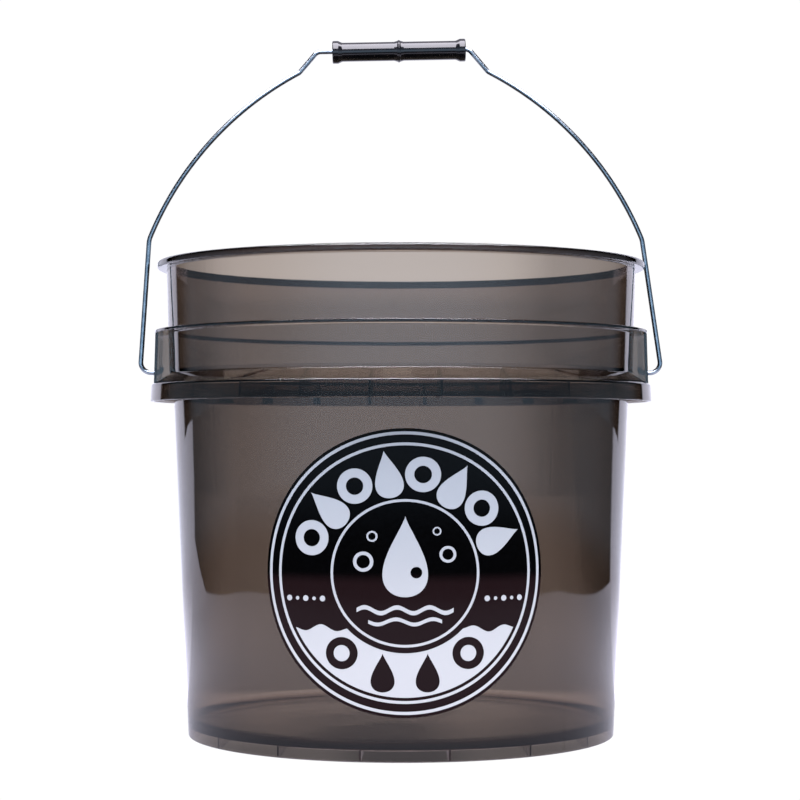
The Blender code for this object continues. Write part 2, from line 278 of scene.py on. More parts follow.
def rounded(corners):
    """Turn (x, z, radius, steps) corners into points, with an arc at each corner that has a radius."""
    points = []
    for i, (x, z, radius, steps) in enumerate(corners):
        here = Vector((x, z))
        if radius <= 0.0:
            points.append(here)
            continue
        to_prev = (Vector(corners[i - 1][:2]) - here).normalized()
        to_next = (Vector(corners[(i + 1) % len(corners)][:2]) - here).normalized()
        half = to_prev.angle(to_next) / 2.0
        centre = here + (to_prev + to_next).normalized() * (radius / math.sin(half))
        start = here + to_prev * (radius / math.tan(half)) - centre
        end = here + to_next * (radius / math.tan(half)) - centre
        turn = start.angle(end)
        for k in range(steps + 1):
            t = k / steps
            a = math.sin((1.0 - t) * turn) / math.sin(turn)
            b = math.sin(t * turn) / math.sin(turn)
            points.append(centre + start * a + end * b)
    return [(p.x, p.y) for p in points]


def join_boolean(target, tool, operation):
    """Add the tool to the target or cut it out, and remove the tool."""
    mod = target.modifiers.new(operation.lower(), "BOOLEAN")
    mod.operation = operation
    mod.object = tool
    mod.solver = "MANIFOLD"
    apply_modifiers(target)
    bpy.data.objects.remove(tool, do_unlink=True)


# ---------------------------------------------------------------- bucket shell

def shell_profile():
    """Half section of the moulding: down the outside, under the foot, up the inside."""
    rim_under = HEIGHT - RIM_DEPTH
    under_root = wall_r(SHOULDER_ROOT_Z) + 0.1 * MM
    under_z = shoulder_z(under_root) - SKIRT_WALL * 1.2
    inner_low = wall_r(STEP_INNER_Z[0]) - WALL
    inner_high = UPPER_ROOT_R + 0.1 * MM - WALL
    foot_in = wall_r(FLOOR_UNDER) - WALL - 0.1 * MM
    corners = [
        (RIM_R, HEIGHT, 1.6 * MM, 8),
        (RIM_R, rim_under, 1.2 * MM, 6),
        (UPPER_R, rim_under, 0.7 * MM, 4),
        (UPPER_R - 1.08 * MM, FLANGE_TOP, 0.7 * MM, 4),
        (FLANGE_R, FLANGE_TOP, 0.45 * MM, 4),
        (FLANGE_R, FLANGE_BOTTOM, 0.45 * MM, 4),
        (UPPER_R - 1.13 * MM, FLANGE_BOTTOM, 0.7 * MM, 4),
        (UPPER_ROOT_R, SHOULDER_ROOT_Z, 1.0 * MM, 4),
        (SKIRT_TOP_R, SHOULDER_EDGE_Z, 1.2 * MM, 6),
        (SKIRT_BOTTOM_R, SKIRT_BOTTOM_Z, 0.4 * MM, 4),
        (SKIRT_BOTTOM_R - SKIRT_WALL, SKIRT_BOTTOM_Z, 0.4 * MM, 4),
        (SKIRT_TOP_R - SKIRT_WALL, SHOULDER_EDGE_Z - 1.2 * MM, 0.8 * MM, 4),
        (under_root, under_z, 0.7 * MM, 4),
        (BASE_R, 0.0, 1.0 * MM, 6),
        (foot_in - 0.2 * MM, 0.0, 0.4 * MM, 4),
        (foot_in, FLOOR_UNDER, 0.6 * MM, 4),
        (0.0, FLOOR_UNDER, 0.0, 0),
        (0.0, FLOOR_TOP, 0.0, 0),
        (wall_r(FLOOR_TOP) - WALL, FLOOR_TOP, FLOOR_FILLET, 12),
        (inner_low, STEP_INNER_Z[0], 1.5 * MM, 3),
        (inner_high, STEP_INNER_Z[1], 1.5 * MM, 3),
        (UPPER_R - WALL, HEIGHT, 0.5 * MM, 5),
    ]
    return rounded(corners)


def plate_ring(name, outline, thickness, turns):
    """Flat radial plates with the given (r, z) outline, one at each angle in turns."""
    bm = bmesh.new()
    for angle in turns:
        turn = Matrix.Rotation(angle, 3, "Z")
        front = [bm.verts.new(turn @ Vector((r, -thickness / 2, z))) for r, z in outline]
        back = [bm.verts.new(turn @ Vector((r, thickness / 2, z))) for r, z in outline]
        bm.faces.new(front)
        bm.faces.new(list(reversed(back)))
        for i in range(len(outline)):
            j = (i + 1) % len(outline)
            bm.faces.new((front[j], front[i], back[i], back[j]))
    bmesh.ops.recalc_face_normals(bm, faces=bm.faces)
    return new_object(name, bm)


def even_turns(count):
    """Angles of count plates spread evenly, none of them on an axis."""
    return [math.tau * (k + 0.5) / count for k in range(count)]


def gusset_plates():
    """Ribs under the shoulder, between the wall and the skirt."""
    foot = SKIRT_BOTTOM_Z + 1.0 * MM
    wall = wall_r(foot) - 0.5 * MM
    skirt = SKIRT_BOTTOM_R - 1.0 * MM
    high = UPPER_ROOT_R - 1.6 * MM
    outline = [(wall, foot), (skirt, foot), (skirt - 0.5 * MM, shoulder_z(skirt) - 1.2 * MM),
               (high, shoulder_z(high) - 1.4 * MM), (wall, STEP_INNER_Z[0])]
    return plate_ring("gusset_plates", outline, GUSSET_THICK, even_turns(GUSSETS))


def foot_plates():
    """Short ribs behind the foot ring, under the floor."""
    wall = wall_r(0.0) - 1.2 * MM
    outline = [(wall, 0.8 * MM), (wall - 3.0 * MM, 0.8 * MM), (wall - 11.0 * MM, FLOOR_UNDER),
               (wall - 11.0 * MM, FLOOR_UNDER + 1.0 * MM), (wall, FLOOR_UNDER + 1.0 * MM)]
    return plate_ring("foot_plates", outline, FOOT_RIB_THICK, even_turns(FOOT_RIBS))


def seam_ridges():
    """Witness lines where the four mould quarters met, on the wall under the skirt."""
    low, high = 2.0 * MM, SKIRT_BOTTOM_Z + 6.0 * MM
    outline = [(wall_r(low) - SEAM_BITE, low), (wall_r(low) + SEAM_PROUD, low),
               (wall_r(high) + SEAM_PROUD, high), (wall_r(high) - SEAM_BITE, high)]
    return plate_ring("seam_ridges", outline, SEAM_WIDTH, even_turns(SEAMS))


def ear_plan():
    """Plan of one ear on the +X side: side plate, curved outer plate, side plate."""
    reach = math.asin(EAR_HALF / EAR_TOP_R)
    root = UPPER_ROOT_R - 1.0 * MM
    start = math.sqrt(root ** 2 - EAR_HALF ** 2)
    plan = [(start, -EAR_HALF)]
    for i in range(25):
        a = reach * (i / 12.0 - 1.0)
        plan.append((EAR_TOP_R * math.cos(a), EAR_TOP_R * math.sin(a)))
    plan.append((start, EAR_HALF))
    return plan


def ear_box(side):
    """Open-backed box between flange and shoulder that carries one end of the bail."""
    bm = bmesh.new()
    rows = []
    for x, y in ear_plan():
        r = math.hypot(x, y)
        grow = EAR_BOTTOM_R / EAR_TOP_R if r > EAR_TOP_R - 1.0 * MM else 1.0
        top = bm.verts.new((side * x, y, FLANGE_BOTTOM + 0.9 * MM))
        low = bm.verts.new((side * x * grow, y, shoulder_z(r * grow) - 1.0 * MM))
        rows.append((top, low))
    for (a, b), (c, d) in zip(rows, rows[1:]):
        bm.faces.new((a, b, d, c) if side > 0 else (c, d, b, a))
    obj = new_object("ear", bm)
    solid = obj.modifiers.new("plate", "SOLIDIFY")
    solid.thickness = EAR_WALL
    solid.offset = -1.0
    solid.use_even_offset = True
    return apply_modifiers(obj)


def ear_drill(side):
    """Round bar that leaves the hinge hole in one ear's outer plate."""
    bm = bmesh.new()
    x0, x1 = DRILL_X
    place = (Matrix.Translation((side * (x0 + x1) / 2, 0.0, PIVOT_Z))
             @ Matrix.Rotation(math.pi / 2, 4, "Y"))
    bmesh.ops.create_cone(bm, cap_ends=True, segments=40, radius1=HOLE_R, radius2=HOLE_R,
                          depth=x1 - x0, matrix=place)
    return new_object("ear_drill", bm)


def pocket_block(side):
    """Block that leaves the open pocket for the wire's hook under one ear."""
    low, high = SHOULDER_EDGE_Z - 5.0 * MM, PIVOT_Z - 1.0 * MM
    size = (POCKET_X[1] - POCKET_X[0], 2.0 * POCKET_HALF, high - low)
    centre = (side * sum(POCKET_X) / 2.0, 0.0, (low + high) / 2.0)
    bm = bmesh.new()
    place = Matrix.Translation(centre) @ Matrix.Diagonal((*size, 1.0))
    bmesh.ops.create_cube(bm, size=1.0, matrix=place)
    return new_object("ear_pocket", bm)


def build_shell(mat):
    """The whole moulding as one closed body."""
    shell = lathe("bucket_shell_clear", shell_profile(), SEGMENTS)
    for tool in (gusset_plates(), foot_plates(), seam_ridges(), ear_box(-1), ear_box(1)):
        join_boolean(shell, tool, "UNION")
    for side in (-1, 1):
        join_boolean(shell, ear_drill(side), "DIFFERENCE")
        join_boolean(shell, pocket_block(side), "DIFFERENCE")
    smooth(shell)
    return dress(shell, mat, "bucket", "clear_smoke_plastic", "bucket_shell")


# ---------------------------------------------------------------- bail and grip

def wire_side(side):
    """Corner points of one half of the bail, from the hook up to the straight top."""
    kink, crest = Vector(KINK[side]), Vector(CREST[side])
    chord = crest - kink
    mid = (kink + crest) / 2.0
    out = Vector((-chord.y, chord.x)).normalized()
    if out.x < 0.0:
        out = -out
    centre = mid - out * math.sqrt(CROWN_ARC ** 2 - (chord.length / 2.0) ** 2)
    a0 = math.atan2(kink.y - centre.y, kink.x - centre.x)
    a1 = math.atan2(crest.y - centre.y, crest.x - centre.x)
    corners = [(TAIL_X, TAIL_TOP, 0.0, 0), (TAIL_X, PIVOT_Z, TAIL_BEND, 10),
               (ELBOW_X[side], PIVOT_Z, ELBOW_BEND, 18), (*kink, KINK_BEND, 10)]
    for i in range(1, 30):
        a = a0 + (a1 - a0) * i / 30.0
        corners.append((centre.x + CROWN_ARC * math.cos(a), centre.y + CROWN_ARC * math.sin(a), 0.0, 0))
    corners += [(*crest, CREST_BEND, 8), (*TOP[side], TOP_BEND, 12)]
    return [(side * x, z, radius, steps) for x, z, radius, steps in corners]


def build_wire(mat):
    """The bail as one round wire swept along its corner points."""
    points = rounded(wire_side(-1) + list(reversed(wire_side(1))))
    curve = bpy.data.curves.new("bail_path", "CURVE")
    curve.dimensions = "3D"
    curve.bevel_depth = WIRE_R
    curve.bevel_resolution = 8
    curve.use_fill_caps = True
    spline = curve.splines.new("POLY")
    spline.points.add(len(points) - 1)
    for point, (x, z) in zip(spline.points, points):
        point.co = (x, 0.0, z, 1.0)
    path = link(bpy.data.objects.new("bail_path", curve))
    deps = bpy.context.evaluated_depsgraph_get()
    mesh = bpy.data.meshes.new_from_object(path.evaluated_get(deps), depsgraph=deps)
    bm = bmesh.new()
    bm.from_mesh(mesh)
    bmesh.ops.remove_doubles(bm, verts=bm.verts, dist=0.00001)
    bmesh.ops.recalc_face_normals(bm, faces=bm.faces)
    bm.to_mesh(mesh)
    bm.free()
    bpy.data.objects.remove(path, do_unlink=True)
    wire = link(bpy.data.objects.new("bail_wire_drawn", mesh))
    smooth(wire, 40.0)
    return dress(wire, mat, "bail", "zinc_plated_steel", "bail_wire")


def top_line():
    """Straight top of the wire: a point at the grip's middle and the direction."""
    left = Vector((-TOP[-1][0], 0.0, TOP[-1][1]))
    right = Vector((TOP[1][0], 0.0, TOP[1][1]))
    along = (right - left).normalized()
    t = (GRIP_CENTRE_X - left.x) / along.x
    return left + along * t, along


def grip_profile():
    """Half section of the sleeve: flared ends, a bead round the middle and the bore."""
    half = GRIP_LENGTH / 2.0
    side = [(GRIP_END_R, half, 0.8 * MM, 5), (GRIP_END_R, half - 3.6 * MM, 1.8 * MM, 5),
            (GRIP_R, half - 6.2 * MM, 2.0 * MM, 5), (GRIP_R, BEAD_HALF + 1.6 * MM, 0.8 * MM, 4),
            (BEAD_R - 0.55 * MM, BEAD_HALF * 0.75, 0.5 * MM, 3), (BEAD_R + 0.12 * MM, 0.0, 0.45 * MM, 5)]
    mirrored = [(r, -z, radius, steps) for r, z, radius, steps in reversed(side[:-1])]
    bore = [(GRIP_BORE_R, -half, 0.4 * MM, 4), (GRIP_BORE_R, half, 0.4 * MM, 4)]
    return rounded(side + mirrored + bore)


def build_grip(mat):
    """The sleeve, resting on the straight top of the wire."""
    grip = lathe("grip_sleeve", grip_profile(), 96)
    middle, along = top_line()
    turn = Vector((0.0, 0.0, 1.0)).rotation_difference(along).to_matrix().to_4x4()
    grip.data.transform(Matrix.Translation(middle + Vector((0.0, 0.0, -GRIP_SAG))) @ turn)
    smooth(grip, 50.0)
    return dress(grip, mat, "grip", "black_gloss_plastic", "grip")


# ---------------------------------------------------------------- label

def on_wall(u, v, lift):
    """Point of the label's sheet: u along the wall, v up its slope, lift off the wall."""
    slope = math.atan(LOWER_TAPER)
    z = LABEL_Z + v * math.cos(slope)
    r = wall_r(z) + lift
    return Vector((r * math.sin(u / r), -r * math.cos(u / r), z))


def circle(cx, cy, radius, count):
    """Outline of a disc with count corners."""
    turns = [math.tau * k / count for k in range(count)]
    return [(cx + radius * math.cos(a), cy + radius * math.sin(a)) for a in turns]


def drop(cx, cy, angle, length, width, count):
    """Water drop whose tip points along angle."""
    points = []
    for k in range(count):
        t = math.tau * k / count
        along = length * 0.5 * math.cos(t)
        across = width * 0.5 * math.sin(t) * math.sin(t / 2.0) ** 1.6 * 1.24
        points.append((cx + along * math.cos(angle) - across * math.sin(angle),
                       cy + along * math.sin(angle) + across * math.cos(angle)))
    return points


def wave_band(x0, x1, y, height, swell, waves, phase=0.0, count=72):
    """Wavy stripe from x0 to x1."""
    def line(offset):
        return [(x0 + (x1 - x0) * k / count,
                 y + offset + swell * math.sin(math.tau * waves * k / count + phase))
                for k in range(count + 1)]
    return line(height / 2.0) + list(reversed(line(-height / 2.0)))


def pool(outer, inner, level, swell, waves, count=60):
    """Water in the lower part of a ring: the outer arc, wavy shores and the inner arc."""
    a_out = math.asin(level / outer)
    a_in = math.asin(level / inner)
    points = []
    for k in range(count + 1):
        a = math.pi - a_out + (math.pi + 2.0 * a_out) * k / count
        points.append((outer * math.cos(a), outer * math.sin(a)))
    x_out, x_in = outer * math.cos(a_out), inner * math.cos(a_in)
    for k in range(1, count):
        t = k / count
        points.append((x_out + (x_in - x_out) * t,
                       level + swell * math.sin(math.tau * waves * t) * math.sin(math.pi * t) ** 0.5))
    for k in range(count + 1):
        a = a_in - (math.pi + 2.0 * a_in) * k / count
        points.append((inner * math.cos(a), inner * math.sin(a)))
    for k in range(1, count):
        t = k / count
        points.append((-x_in + (x_in - x_out) * t,
                       level - swell * math.sin(math.tau * waves * t) * math.sin(math.pi * t) ** 0.5))
    return points


def spot(distance, angle):
    """Point at a distance and an angle from the label's middle."""
    return distance * math.cos(angle), distance * math.sin(angle)


def bubble(cx, cy, radius, hole, counts):
    """A disc with a round hole."""
    return [circle(cx, cy, radius, counts[0]), circle(cx, cy, hole, counts[1])]


def label_art():
    """Outlines of the white print in units of the label's half size; nested outlines are holes."""
    art = []
    for outer, inner, count in ((0.978, 0.957, 240), (0.902, 0.882, 220), (0.512, 0.494, 160)):
        art += bubble(0, 0, outer, inner, (count, count))
    for k in range(8):
        a = math.radians(159.6 - 19.9 * k)
        x, y = spot(0.692, a)
        if k % 2 == 0:
            art += bubble(x, y, 0.122, 0.060, (64, 48))
        else:
            art.append(drop(x, y, a, 0.330, 0.225, 56))
    for side in (-1, 1):
        for k in range(5):
            art.append(circle(side * (0.570 + 0.062 * k), -0.180, 0.020 if k % 2 == 0 else 0.013, 24))
    art.append(pool(0.860, 0.552, -0.385, 0.026, 1.5))
    for angle, upright in ((-128.0, False), (-102.5, True), (-77.5, True), (-52.0, False)):
        x, y = spot(0.705, math.radians(angle))
        if upright:
            art.append(drop(x, y, math.pi / 2.0, 0.270, 0.190, 56))
        else:
            art += bubble(x, y, 0.112, 0.056, (64, 48))
    art.append(drop(0.0, 0.115, math.pi / 2.0, 0.56, 0.36, 72))
    art.append(circle(0.075, 0.005, 0.040, 32))
    for x, y, radius in ((-0.285, 0.080, 0.070), (0.290, 0.130, 0.058), (-0.225, 0.255, 0.038),
                         (0.215, 0.290, 0.030)):
        art += bubble(x, y, radius, radius * 0.66, (48, 40))
    art.append(wave_band(-0.330, 0.330, -0.255, 0.030, 0.020, 3.0))
    art.append(wave_band(-0.250, 0.250, -0.335, 0.026, 0.018, 2.0, math.pi))
    return art


def cut_grid(bm, spacing, half):
    """Cut a flat mesh into strips narrow enough to bend round the wall."""
    count = int(half / spacing)
    for k in range(-count, count + 1):
        for normal in ((1.0, 0.0, 0.0), (0.0, 1.0, 0.0)):
            point = Vector(normal) * (k * spacing)
            bmesh.ops.bisect_plane(bm, geom=bm.verts[:] + bm.edges[:] + bm.faces[:], dist=1e-7,
                                   plane_co=point, plane_no=normal)


def wrap(obj, lift, thickness, spacing):
    """Bend a flat outline mesh onto the wall and give it its thickness."""
    bm = bmesh.new()
    bm.from_mesh(obj.data)
    bmesh.ops.remove_doubles(bm, verts=bm.verts, dist=1e-6)
    bmesh.ops.dissolve_limit(bm, angle_limit=0.001, verts=bm.verts, edges=bm.edges)
    cut_grid(bm, spacing, LABEL_HALF_WIDTH)
    bm.verts.index_update()
    flat = [v.co.copy() for v in bm.verts]
    made = bmesh.new()
    tops = [made.verts.new(on_wall(p.x, p.y, lift + thickness)) for p in flat]
    lows = [made.verts.new(on_wall(p.x, p.y, lift)) for p in flat]
    for face in bm.faces:
        ids = [v.index for v in face.verts]
        made.faces.new([tops[i] for i in ids])
        made.faces.new([lows[i] for i in reversed(ids)])
    for edge in bm.edges:
        if len(edge.link_faces) == 1:
            a, b = (v.index for v in edge.verts)
            made.faces.new((tops[a], tops[b], lows[b], lows[a]))
    bmesh.ops.recalc_face_normals(made, faces=made.faces)
    bm.free()
    made.to_mesh(obj.data)
    made.free()
    return obj


def flat_outline(name, outlines):
    """Flat mesh inside the outlines, which are in units of the label's half size."""
    curve = bpy.data.curves.new(name, "CURVE")
    curve.dimensions = "2D"
    curve.fill_mode = "BOTH"
    for outline in outlines:
        spline = curve.splines.new("POLY")
        spline.points.add(len(outline) - 1)
        for point, (x, y) in zip(spline.points, outline):
            point.co = (x * LABEL_HALF_WIDTH, y * LABEL_HALF_HEIGHT, 0.0, 1.0)
        spline.use_cyclic_u = True
    flat = link(bpy.data.objects.new(name + "_outline", curve))
    deps = bpy.context.evaluated_depsgraph_get()
    mesh = bpy.data.meshes.new_from_object(flat.evaluated_get(deps), depsgraph=deps)
    bpy.data.objects.remove(flat, do_unlink=True)
    return link(bpy.data.objects.new(name, mesh))


def build_label(film_mat, ink_mat):
    """The film on the wall, and the white print as a thin raised layer on it."""
    film = wrap(flat_outline("label_film", [circle(0, 0, 1.0, 240)]), FILM_LIFT, FILM_THICK, LABEL_GRID)
    smooth(film, 40.0)
    dress(film, film_mat, "bucket", "printed_vinyl", "label")
    ink = wrap(flat_outline("label_print", label_art()), FILM_LIFT + FILM_THICK - INK_BITE,
               INK_THICK + INK_BITE, LABEL_GRID)
    smooth(ink, 40.0)
    dress(ink, ink_mat, "bucket", "printed_vinyl")


# ---------------------------------------------------------------- node tools

class Nodes:
    """Short names for building a node tree."""

    def __init__(self, tree):
        self.tree = tree
        tree.nodes.clear()

    def add(self, kind, **settings):
        node = self.tree.nodes.new(kind)
        for key, value in settings.items():
            setattr(node, key, value)
        return node

    def put(self, socket, value):
        if isinstance(value, bpy.types.NodeSocket):
            self.tree.links.new(value, socket)
        else:
            socket.default_value = value

    def math(self, operation, *values):
        node = self.add("ShaderNodeMath", operation=operation)
        for socket, value in zip(node.inputs, values):
            self.put(socket, value)
        return node.outputs[0]

    def times(self, first, *others):
        for value in others:
            first = self.math("MULTIPLY", first, value)
        return first

    def vector(self, x, y, z):
        node = self.add("ShaderNodeCombineXYZ")
        for socket, value in zip(node.inputs, (x, y, z)):
            self.put(socket, value)
        return node.outputs[0]

    def split(self, vector):
        node = self.add("ShaderNodeSeparateXYZ")
        self.put(node.inputs[0], vector)
        return node.outputs

    def blend(self, factor, a, b):
        node = self.add("ShaderNodeMix", data_type="RGBA")
        self.put(node.inputs[0], factor)
        self.put(node.inputs[6], a)
        self.put(node.inputs[7], b)
        return node.outputs[2]

    def add_colour(self, a, b):
        node = self.add("ShaderNodeVectorMath", operation="ADD")
        self.put(node.inputs[0], a)
        self.put(node.inputs[1], b)
        return node.outputs[0]

    def ease(self, value, low, high, at_low=0.0, at_high=1.0):
        """Smooth step from at_low to at_high while value goes from low to high."""
        node = self.add("ShaderNodeMapRange", interpolation_type="SMOOTHSTEP")
        for socket, number in zip(node.inputs, (value, low, high, at_low, at_high)):
            self.put(socket, number)
        return node.outputs[0]

    def levels(self, value, stops):
        """Piecewise level of a value: stops are (value, level) pairs, eased from one to the next."""
        total = stops[0][1]
        for (v0, l0), (v1, l1) in zip(stops, stops[1:]):
            total = self.math("ADD", total, self.ease(value, v0, v1, 0.0, l1 - l0))
        return total

    def scaled(self, factor, colour):
        node = self.add("ShaderNodeVectorMath", operation="SCALE")
        node.inputs[0].default_value = colour[:3]
        self.put(node.inputs["Scale"], factor)
        return node.outputs[0]

    def noise(self, vector, scale, detail=2.0, roughness=0.5):
        node = self.add("ShaderNodeTexNoise")
        self.put(node.inputs["Vector"], vector)
        self.put(node.inputs["Scale"], scale)
        self.put(node.inputs["Detail"], detail)
        self.put(node.inputs["Roughness"], roughness)
        return node.outputs["Fac"]

    def bump(self, height, strength, distance, normal=None):
        node = self.add("ShaderNodeBump")
        self.put(node.inputs["Height"], height)
        self.put(node.inputs["Strength"], strength)
        self.put(node.inputs["Distance"], distance)
        if normal is not None:
            self.put(node.inputs["Normal"], normal)
        return node.outputs[0]

    def place(self):
        """Point in the piece's own frame, which is the bucket's frame at rest."""
        return self.add("ShaderNodeTexCoord").outputs["Object"]


def new_material(name):
    """A material with its node tools, its shader and its output node."""
    mat = bpy.data.materials.new(name)
    mat.use_nodes = True
    nodes = Nodes(mat.node_tree)
    out = nodes.add("ShaderNodeOutputMaterial")
    bsdf = nodes.add("ShaderNodeBsdfPrincipled")
    nodes.put(out.inputs["Surface"], bsdf.outputs[0])
    return mat, nodes, bsdf, out


def around(nodes, vector):
    """Angle about the bucket's axis in turns, and height."""
    x, y, z = nodes.split(vector)
    return nodes.math("DIVIDE", nodes.math("ARCTAN2", y, x), math.tau), z


# ---------------------------------------------------------------- materials

def smoke_plastic():
    """Clear smoke-tinted moulding: coloured by depth, slightly wavy, with faint drawn lines."""
    mat, n, bsdf, out = new_material("clear_smoke_plastic_look")
    place = n.place()
    turn, z = around(n, place)
    swirl = n.noise(place, 22.0, 2.0, 0.45)
    lines = n.noise(n.vector(n.times(turn, 260.0), n.times(z, 3.0), 0.0), 1.0, 3.0, 0.6)
    grain = n.noise(place, 900.0, 2.0, 0.5)
    normal = n.bump(swirl, 0.18, 0.0006)
    normal = n.bump(lines, 0.18, 0.00004, normal)
    bsdf.inputs["Base Color"].default_value = (1.0, 1.0, 1.0, 1.0)
    bsdf.inputs["Transmission Weight"].default_value = 1.0
    bsdf.inputs["IOR"].default_value = PLASTIC_IOR
    n.put(bsdf.inputs["Roughness"], n.ease(grain, 0.35, 0.75, 0.012, 0.045))
    n.put(bsdf.inputs["Normal"], normal)
    tint = n.add("ShaderNodeVolumeAbsorption")
    tint.inputs["Color"].default_value = SMOKE_TINT
    tint.inputs["Density"].default_value = SMOKE_DENSITY
    n.put(out.inputs["Volume"], tint.outputs[0])
    return mat


def zinc_wire():
    """Bright zinc over drawn wire: bluish, clouded and finely grained."""
    mat, n, bsdf, _ = new_material("zinc_wire_look")
    place = n.place()
    cloud = n.noise(place, 260.0, 3.0, 0.6)
    fine = n.noise(place, 2600.0, 2.0, 0.6)
    n.put(bsdf.inputs["Base Color"], n.blend(n.ease(cloud, 0.35, 0.68), ZINC_DARK, ZINC_LIGHT))
    bsdf.inputs["Metallic"].default_value = 1.0
    n.put(bsdf.inputs["Roughness"], n.ease(fine, 0.3, 0.7, 0.14, 0.22))
    n.put(bsdf.inputs["Normal"], n.bump(cloud, 0.12, 0.00012, n.bump(fine, 0.10, 0.00001)))
    return mat


def grip_plastic():
    """Black gloss sleeve with a faint moulded texture and light handling marks."""
    mat, n, bsdf, _ = new_material("grip_black_look")
    place = n.place()
    wide = n.noise(place, 120.0, 2.0, 0.5)
    fine = n.noise(place, 3200.0, 2.0, 0.6)
    n.put(bsdf.inputs["Base Color"], n.blend(n.ease(wide, 0.35, 0.7), GRIP_DARK, GRIP_WORN))
    n.put(bsdf.inputs["Roughness"], n.ease(fine, 0.3, 0.7, 0.07, 0.13))
    n.put(bsdf.inputs["Normal"], n.bump(fine, 0.08, 0.00002, n.bump(wide, 0.12, 0.0002)))
    return mat


def film_black():
    """Black gloss vinyl with fine specks, and a painted reflection of the table that makes its lower part a
    little warmer.
    """
    mat, n, bsdf, _ = new_material("label_black_look")
    place = n.place()
    peel = n.noise(place, 420.0, 2.0, 0.5)
    speck = n.noise(place, 5200.0, 1.0, 0.5)
    # painted reflection of the table: the lower half of the film is warmer
    base = n.blend(n.ease(n.split(place)[2], 0.100, 0.108), INK_BLACK_PAINTED_REFLECTION, INK_BLACK)
    n.put(bsdf.inputs["Base Color"], n.blend(n.ease(speck, 0.62, 0.80, 0.0, 0.5), base, INK_BLACK_SPECK))
    bsdf.inputs["Specular IOR Level"].default_value = 0.08
    n.put(bsdf.inputs["Roughness"], n.ease(peel, 0.3, 0.7, 0.06, 0.12))
    n.put(bsdf.inputs["Normal"], n.bump(peel, 0.05, 0.00005))
    return mat


def film_white():
    """Cool white print with the faint screen of a printed sheet, and painted light that makes it lighter
    towards the label's bottom.
    """
    mat, n, bsdf, _ = new_material("label_white_look")
    place = n.place()
    screen = n.noise(place, 6000.0, 1.0, 0.5)
    wide = n.noise(place, 30.0, 2.0, 0.5)
    # painted light: the print grows lighter towards the label's bottom
    height = n.math("ADD", n.split(place)[2], n.times(wide, 0.02))
    base = n.blend(n.ease(height, 0.05, 0.18), INK_WHITE_PAINTED_LIGHT, INK_WHITE)
    n.put(bsdf.inputs["Base Color"], n.blend(n.ease(screen, 0.55, 0.8, 0.0, 0.20), base, INK_WHITE_SCREEN))
    n.put(bsdf.inputs["Roughness"], n.ease(screen, 0.3, 0.7, 0.14, 0.22))
    return mat


# ---------------------------------------------------------------- studio

def by_ray(n, camera, glossy, through, other):
    """Colour by the kind of ray: seen directly, mirrored, out of the plastic, or lighting a surface."""
    path = n.add("ShaderNodeLightPath")
    colour = n.blend(path.outputs["Is Glossy Ray"], other, glossy)
    colour = n.blend(path.outputs["Is Transmission Ray"], colour, through)
    return n.blend(path.outputs["Is Camera Ray"], colour, camera)


def overhead_box(n, x, y, z, bounces):
    """Soft box as the gloss sees it: a rectangle overhead, met by rays of at most two bounces."""
    up = n.math("MAXIMUM", z, 0.02)
    aside = n.math("ABSOLUTE", n.math("DIVIDE", x, up))
    ahead = n.math("DIVIDE", y, up)
    box = n.times(n.ease(aside, 0.70, 0.80, 1.0, 0.0), n.ease(ahead, -1.95, -1.85))
    box = n.times(box, n.levels(ahead, BOX_BY_SLOPE))
    return n.times(box, n.math("LESS_THAN", bounces, 2.5))


def backdrop_through(n, y, z, azimuth, bounces):
    """Level of the backdrop out of the plastic: bright in the middle, dim to the sides and to the front."""
    edge = n.ease(azimuth, 0.062, 0.128, 1.0, 0.37)
    edge = n.math("MAXIMUM", edge, n.ease(z, 0.0, 0.05, 0.0, 0.70))
    edge = n.math("ADD", edge, n.ease(azimuth, 0.35, 0.80, 0.0, 0.15))
    shade = n.times(n.ease(azimuth, 0.015, 0.055, 0.62, 0.0), n.levels(z, SHADE_BY_HEIGHT))
    edge = n.math("SUBTRACT", edge, shade)
    edge = n.times(edge, n.levels(bounces, BACKDROP_BY_BOUNCES))
    edge = n.times(edge, n.ease(y, -0.50, -0.10, 0.20, 1.0))
    return n.times(n.levels(z, BACKDROP_BY_HEIGHT), edge)


def make_world():
    """White backdrop. The gloss also meets the cool room in front and the soft box overhead."""
    world = bpy.data.worlds.new("studio")
    bpy.context.scene.world = world
    world.use_nodes = True
    n = Nodes(world.node_tree)
    out = n.add("ShaderNodeOutputWorld")
    background = n.add("ShaderNodeBackground")
    n.put(out.inputs["Surface"], background.outputs[0])
    x, y, z = n.split(n.add("ShaderNodeTexCoord").outputs["Generated"])
    azimuth = n.math("ABSOLUTE", n.math("ARCTAN2", x, y))
    facing = n.math("SUBTRACT", math.pi, azimuth)
    bounces = n.add("ShaderNodeLightPath").outputs["Ray Depth"]

    wall = n.ease(azimuth, BACKDROP_HALF - BACKDROP_BLUR, BACKDROP_HALF + BACKDROP_BLUR, 1.0, 0.0)
    wall = n.times(wall, n.ease(z, 0.50, 0.60, 1.0, 0.0))
    room = n.times(n.levels(z, ROOM_BY_HEIGHT), n.levels(facing, ROOM_BY_ANGLE))
    mirrored = n.add_colour(n.scaled(wall, BACKDROP_TINT), n.scaled(room, ROOM_TINT))
    mirrored = n.add_colour(mirrored, n.scaled(overhead_box(n, x, y, z, bounces), BOX_TINT))

    through = n.scaled(backdrop_through(n, y, z, azimuth, bounces), BACKDROP_WARMTH)
    soft = n.blend(n.ease(y, -0.3, 0.8), SOFT_FRONT, SOFT_BACK)
    n.put(background.inputs["Color"], by_ray(n, SEEN_WHITE, mirrored, through, soft))


